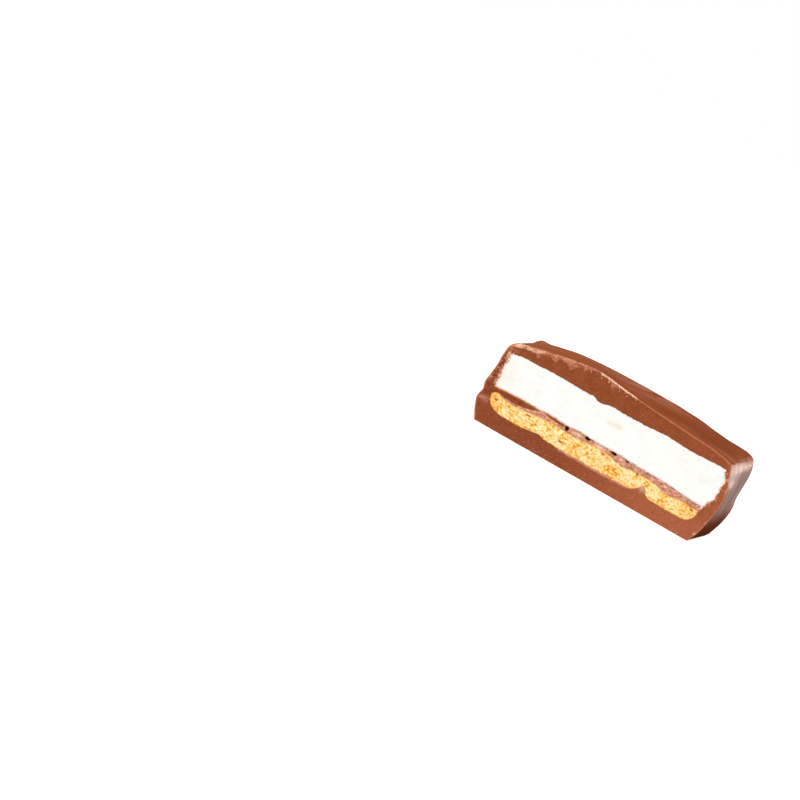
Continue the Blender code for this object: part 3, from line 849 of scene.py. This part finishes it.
    straight = DEPTH - BACK_EDGE_RADIUS
    stations = [(None, 0.0)]
    further = straight - FIRST_SKIN_STEP
    stations += [(FIRST_SKIN_STEP + further * t**1.3, 0.0) for t in np.linspace(0.0, 1.0, 56)]
    stations += [(straight, turn) for turn in np.radians(np.linspace(6.0, 90.0, 15))]
    centre = core_of(back, along, up)
    for run, turn in stations:
        run = SKIN_BEHIND + behind if run is None else np.full(n, run)
        share = smooth_step(run / (straight * 0.9))[:, None]
        loop = cut + (back - cut) * share
        outward = normals_of(loop)
        inward = centre - loop
        inward /= np.linalg.norm(inward, axis=1)[:, None]
        inset = BACK_EDGE_RADIUS * (1 - math.cos(turn)) * foot_share(loop)
        loop = loop + inward * inset[:, None]
        reach = (run + BACK_EDGE_RADIUS * math.sin(turn)) / DEPTH
        points = ring(loop, CUT_Y + reach * (DEPTH - tuck_at(loop)))
        outward = ring(outward * math.cos(turn), math.sin(turn))
        points += outward * skin_relief(points, outward)[:, None]
        points[:, 2] = np.maximum(points[:, 2], 0.0)
        on_top = smooth_step((outward[:, 2] - 0.35) / 0.4)
        # Pale behind the chipped left rim: partly pale chips, partly a painted highlight on the rounded skin.
        chipped = left * (1.0 - smooth_step(run / ((2.5 + 4.0 * white_end) * MM)))
        chipped *= smooth_step(noise_at(points, 0.9 * MM) + 0.5 + 0.4 * white_end)
        _, pale, valley = flow_ridges(points)
        put(points, top=on_top, pale=np.maximum(pale * on_top, chipped), valley=valley * on_top)

    last = rings[-1]
    facing_back = np.array([(0.0, 1.0, 0.0)] * n)
    for share in np.linspace(0.06, 0.94, 12):
        loop = last[:, [0, 2]] + (centre - last[:, [0, 2]]) * share
        points = ring(loop, BACK_Y - tuck_at(loop))
        points += facing_back * skin_relief(points, facing_back)[:, None]
        put(points)
    fill_box(rings)
    coat = ring_piece("chocolate_coat", rings, along, up, cut_finish, masks)
    coat.data.materials.append(poured)
    caps = n // 2
    skin_faces = np.zeros(len(coat.data.polygons), dtype=np.int32)
    skin_faces[caps + (faces_of_cut + 4) * n :] = 1
    coat.data.polygons.foreach_set("material_index", skin_faces)
    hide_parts("chocolate_coating")


def layer_rings(low, high, along, up, steps, face):
    """Rings of one layer, with the values of its masks: face gives the relief and masks of the cut face."""
    plain = layer_loop(low, high, along, up)
    core = core_of(plain, along, up)
    loop = torn(plain)
    back = BACK_Y - COAT_AT_BACK
    rings, masks = [], {}
    for share in steps:
        flat = ring(plain + (core - plain) * share + (loop - plain) * (1.0 - share) ** 3, CUT_Y)
        from_edge = np.linalg.norm(flat[:, [0, 2]] - loop, axis=1)
        relief, values = face(flat, from_edge)
        flat[:, 1] += relief
        rings.append(flat)
        for key, value in values.items():
            masks.setdefault(key, []).append(value)
    for y in (CUT_Y + 1.5 * MM, back - 0.2 * MM):
        rings.append(ring(loop, y))
    rings.append(ring(loop + (core - loop) * 0.5, back - 0.2 * MM))
    for key in masks:
        masks[key] += [np.zeros(len(loop))] * 3
    return rings, masks


def build_cracker(material, along=470, up=36):
    def face(flat, from_edge):
        rich = noise_at(flat, 3.2 * MM)
        ragged = 0.25 * noise_at(flat, 0.4 * MM)
        hole = np.zeros(len(flat))
        for x, z, wide, high in CRUMB_HOLES:
            away = np.hypot((flat[:, 0] - x) / wide, (flat[:, 2] - z) / high) + ragged
            hole = np.maximum(hole, 1.0 - smooth_step((away - 0.5) / 0.6))
        pits = np.clip(noise_at(flat * (0.8, 1.0, 1.0), 0.6 * MM) + 0.1, 0.0, 1.0)
        relief = (0.12 + 0.3 * pits + 0.3 * hole + 0.06 * noise_at(flat, 0.25 * MM)) * MM
        smeared = after(flat[:, 2], 8.0, 1.0) * before(flat[:, 0], 12.0, 4.0)
        crust = 1.0 - smooth_step(from_edge / ((0.5 + 0.4 * rich + 0.1 * smeared) * MM))
        return relief, {"rich": rich, "hole": hole, "crust": crust}

    steps = (0.96, 0.9, 0.84, 0.78, 0.72, 0.66, 0.6, 0.54, 0.48, 0.42, 0.36, 0.3, 0.24, 0.18, 0.12, 0.06, 0.0)
    rings, masks = layer_rings(cracker_under, cracker_top, along, up, steps, face)
    piece = ring_piece("cracker_slab", rings, along, up, material, masks)
    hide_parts("graham_cracker")


def build_seam(material, along=520, up=20):
    def face(flat, from_edge):
        x, _, z = flat.T
        fine = noise_at(flat, 0.35 * MM)
        coarse = noise_at(flat * (0.5, 1.0, 1.0), 1.1 * MM)
        air = np.zeros(len(flat))
        for at_x, at_z, wide, high in AIR_POCKETS:
            away = np.hypot((x - at_x) / wide, (z - at_z) / high) + 0.25 * fine
            air = np.maximum(air, 1.0 - smooth_step((away - 0.75) / 0.35))
        lump = np.zeros(len(flat))
        for at_x, at_z, wide, high in SEAM_LUMPS:
            lump = np.maximum(lump, spot(flat, at_x, at_z, wide, high))
        lump *= smooth_step((fine + coarse + 0.5) / 0.6)
        above = z - height(SEAM_DARK_ABOVE, x) + 0.12 * fine * MM
        lens = smooth_step(above / (0.15 * MM)) * (x < -10.8 * MM)
        streaks = noise_at(np.stack([x + z, z - x, z], axis=1) * (0.35, 1.0, 1.0), 0.9 * MM)
        pale = (1.0 - lens) * np.clip(0.75 + 0.5 * streaks + 0.3 * fine, 0.0, 1.0)
        from_top = mallow_under(x) - z
        from_arch = np.hypot((x + 6.7 * MM) / 2.6, (z - 9.5 * MM) / 1.35) / MM - 1.0
        arch = np.exp(-((from_arch / 0.09) ** 2)) * (z > 9.7 * MM)
        white = smooth_step((x - 30.9 * MM - 0.55 * (9.9 * MM - z)) / (0.2 * MM)) * after(z, 8.5, 0.2)
        left = before(x, -8.0, 2.0)
        line = left * (1.0 - after(from_top, 0.2, 0.14)) * smooth_step((fine + coarse + 0.9) / 0.7)
        line = np.maximum.reduce([line, 0.8 * arch, spot(flat, 5.4 * MM, 10.8 * MM, 0.3 * MM, 0.25 * MM)])
        relief = 0.12 + 0.10 * coarse + 0.06 * fine + 0.10 * lens - 0.06 * lump
        values = {"air": air, "pale": pale, "lump": lump, "line": line, "white": white}
        return (relief + 1.3 * air) * MM, values

    steps = (0.95, 0.87, 0.79, 0.71, 0.63, 0.55, 0.47, 0.39, 0.32, 0.26, 0.2, 0.14, 0.08, 0.0)
    rings, masks = layer_rings(cracker_top, mallow_under, along, up, steps, face)
    piece = ring_piece("chocolate_seam", rings, along, up, material, masks)
    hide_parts("chocolate_layer")


def build_mallow(material, along=330, up=60):
    def face(flat, from_edge):
        x, _, z = flat.T
        blotch = spot(flat, 2.1 * MM, 17.4 * MM, 1.3 * MM, 0.7 * MM)
        blotch += 0.55 * spot(flat, -0.4 * MM, 17.2 * MM, 0.9 * MM, 0.7 * MM)
        for at_x, at_z in BLOTCHES:
            blotch += 0.35 * spot(flat, at_x, at_z, 0.45 * MM, 0.35 * MM)
        blotch += 0.14 * before(x, -26.0, 5.0)
        near_top = after(z, 19.6, 0.6) * after(x, 2.0, 4.0)
        blotch += 0.5 * near_top * smooth_step((noise_at(flat, 0.7 * MM) - 0.25) / 0.2)
        relief = 0.10 + 0.08 * noise_at(flat, 4.0 * MM) + 0.03 * noise_at(flat, 0.9 * MM)
        relief += 0.10 * (1.0 - smooth_step(from_edge / (0.4 * MM)))
        ends = after(np.abs(x), 31.0, 1.0)
        low_left = before(x, -29.0, 1.5) * before(z, 12.2, 1.0)
        edge = 1.0 - smooth_step(from_edge / ((0.3 + 0.4 * ends + 0.8 * low_left) * MM))
        return relief * MM, {"blotch": blotch, "smear": edge * (0.45 + 0.55 * ends)}

    steps = (0.97, 0.93, 0.88, 0.83, 0.78, 0.73, 0.68, 0.63, 0.58, 0.53, 0.48, 0.43, 0.38)
    steps += (0.33, 0.28, 0.23, 0.19, 0.15, 0.12, 0.09, 0.065, 0.045, 0.028, 0.014, 0.0)
    rings, masks = layer_rings(mallow_under, mallow_top, along, up, steps, face)
    piece = ring_piece("marshmallow_slab", rings, along, up, material, masks)
    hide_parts("marshmallow")


def icosahedron():
    """Corners and faces of the lump that every crumb starts from."""
    lump = bmesh.new()
    bmesh.ops.create_icosphere(lump, subdivisions=1, radius=1.0)
    corners = np.array([v.co for v in lump.verts])
    faces = [[v.index for v in f.verts] for f in lump.faces]
    lump.free()
    return corners, faces


def scatter(name, places, sizes, flatness, material, seed):
    """Many small broken lumps in one mesh."""
    random = np.random.default_rng(seed)
    corners, lump_faces = icosahedron()
    vertices, faces = [], []
    for place, size in zip(places, sizes):
        base = len(vertices) * len(corners)
        uneven = random.uniform(0.6, 1.25, (len(corners), 1))
        shape = corners * uneven * (1.0, flatness, random.uniform(0.5, 0.9))
        turn = Euler(random.uniform(-0.5, 0.5, 3) * (1.0, 6.0, 1.0)).to_matrix()
        vertices.append(shape @ np.array(turn).T * size / 2 + place)
        faces += [[base + i for i in face] for face in lump_faces]
    return mesh_piece(name, np.concatenate(vertices), faces, material, sharp=20)


def build_crumbs():
    """Shavings on the chipped rim and the foot's edge, and torn bits at the ends of the marshmallow."""
    random = np.random.default_rng(PLACE_SEED)
    shaving = crumb_material("chocolate_shaving", (0.48, 0.165, 0.09), (0.78, 0.40, 0.26))
    x = np.concatenate([random.uniform(-33.0, -8.0, 26), random.uniform(-8.0, 4.0, 12)]) * MM
    z = height(CUT_TOP, x) - random.uniform(0.25, 1.3, len(x)) * MM
    rim = np.stack([x, np.full(len(x), CUT_Y + 0.12 * MM), z], axis=1)
    size = random.uniform(0.25, 0.75, len(x)) * MM
    x = np.concatenate([random.uniform(-22.0, 30.0, 46), random.normal(-14.3, 1.6, 22)]) * MM
    z = np.abs(random.normal(0.0, 0.8, len(x))) * MM + 0.15 * MM
    foot = np.stack([x, np.full(len(x), CUT_Y + 0.08 * MM), z], axis=1)
    small = random.uniform(0.14, 0.36, len(x)) * MM
    places, sizes = np.concatenate([rim, foot]), np.concatenate([size, small])
    piece = scatter("chocolate_shavings", places, sizes, 0.45, shaving, SHAVING_SEED)

    bits = crumb_material("torn_bits", (0.58, 0.21, 0.10), (0.90, 0.60, 0.40))
    heights = ((11.5, 20.8, 46), (17.5, 20.8, 16), (9.8, 12.0, 10))
    z = np.concatenate([random.uniform(*each) for each in heights]) * MM
    left = np.arange(len(z)) < 30
    ends_at = [through(end[:, 0], end[:, 1], z) for end in (STACK_LEFT, STACK_RIGHT)]
    edge = np.where(left, *ends_at)
    x = edge + random.normal(0.0, 0.3, len(z)) * MM
    ends = np.stack([x, np.full(len(z), CUT_Y + 0.15 * MM), z], axis=1)
    sizes = random.uniform(0.25, 0.65, len(z)) * MM
    piece = scatter("torn_bits", ends, sizes, 0.6, bits, BIT_SEED)


# Floor, lights and camera


def build_stage():
    """A plain pale floor under soft studio light."""
    floor_mesh = bpy.data.meshes.new("floor")
    half = FLOOR_HALF
    corners = [(-half, -half, 0), (half, -half, 0), (half, half, 0), (-half, half, 0)]
    floor_mesh.from_pydata(corners, [], [(0, 1, 2, 3)])
    constants = {"Roughness": 0.9, "Specular IOR Level": 0.1, "Emission Strength": 0.5}
    material, shader, _ = new_material("pale_floor", constants)
    seen = add_node(material.node_tree, "ShaderNodeLightPath", output="Is Camera Ray")
    surface = seen.mix((0.45, 0.45, 0.45), (0.95, 0.95, 0.95))
    finish(seen, shader, 0.0, Base_Color=surface, Emission_Color=seen.mix((0.0, 0.0, 0.0), (1.0, 1.0, 1.0)))
    floor_mesh.materials.append(material)
    floor = bpy.data.objects.new("floor", floor_mesh)
    bpy.context.scene.collection.objects.link(floor)

    world = bpy.data.worlds.new("studio")
    world.use_nodes = True
    tree = world.node_tree
    seen = add_node(tree, "ShaderNodeLightPath", output="Is Camera Ray")
    direction = add_node(tree, "ShaderNodeTexCoord", output="Generated")
    upward = direction.axis("Z")
    sideways = direction.axis("X")
    backward = direction.axis("Y")
    overhead = upward.step(0.1, 0.85).mix((0.025, 0.025, 0.025), (0.5, 0.5, 0.5))
    screen = sideways.step(0.02, 0.16) * backward.step(0.8, 0.9) * (1.0 - upward.step(0.2, 0.4))
    studio = screen.mix(overhead, (5.2, 4.5, 4.2))
    shade = seen.mix(studio, (1.0, 1.0, 1.0))
    tree.links.new(shade.socket, tree.nodes["Background"].inputs["Color"])
    bpy.context.scene.world = world


def add_light(name, kind, energy, towards, **settings):
    """A light that shines on the piece from the given direction."""
    light = bpy.data.lights.new(name, kind)
    light.energy = energy
    for key, value in settings.items():
        setattr(light, key, value)
    obj = bpy.data.objects.new(name, light)
    obj.location = AIM + Vector(towards)
    obj.rotation_euler = (AIM - obj.location).to_track_quat("-Z", "Y").to_euler()
    bpy.context.scene.collection.objects.link(obj)


def build_lights():
    add_light("key", "SUN", 2.95, (0.15, -0.8, 0.6), angle=math.radians(50))
    add_light("overhead", "AREA", 0.9, (-0.4, 0.05, 0.85), size=0.8)
    add_light("side", "AREA", 0.8, (0.7, -0.2, 0.6), size=0.5)


def build_camera():
    """The photograph's viewpoint, turned and panned so that the piece leans and stands as it does there."""
    a, e = CAMERA_AZIMUTH, CAMERA_ELEVATION
    back = Vector((math.sin(a) * math.cos(e), -math.cos(a) * math.cos(e), math.sin(e)))
    right = Vector((math.cos(a), math.sin(a), 0.0))
    level = Matrix((right, back.cross(right), back)).transposed()
    turned = level @ Matrix.Rotation(CAMERA_ROLL, 3, "Z")
    middle = FRAME_PIXELS / 2
    shown = Vector(((AIM_PIXEL[0] - middle) / FOCAL_PIXELS, (middle - AIM_PIXEL[1]) / FOCAL_PIXELS, -1))
    pan = shown.normalized().rotation_difference(Vector((0, 0, -1))).to_matrix()
    data = bpy.data.cameras.new("camera")
    data.sensor_width = 36.0
    data.lens = data.sensor_width * FOCAL_PIXELS / FRAME_PIXELS
    data.clip_start = 0.01
    camera = bpy.data.objects.new("camera", data)
    camera.matrix_world = Matrix.Translation(AIM + back * CAMERA_DISTANCE) @ (turned @ pan).to_4x4()
    bpy.context.scene.collection.objects.link(camera)
    bpy.context.scene.camera = camera


def main():
    build_coat(poured_chocolate(), cut_chocolate())
    build_cracker(baked_cracker())
    build_seam(seam_chocolate())
    build_mallow(marshmallow_foam())
    build_crumbs()
    build_stage()
    build_lights()
    build_camera()
    bpy.context.scene.view_settings.view_transform = "Standard"


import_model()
main()
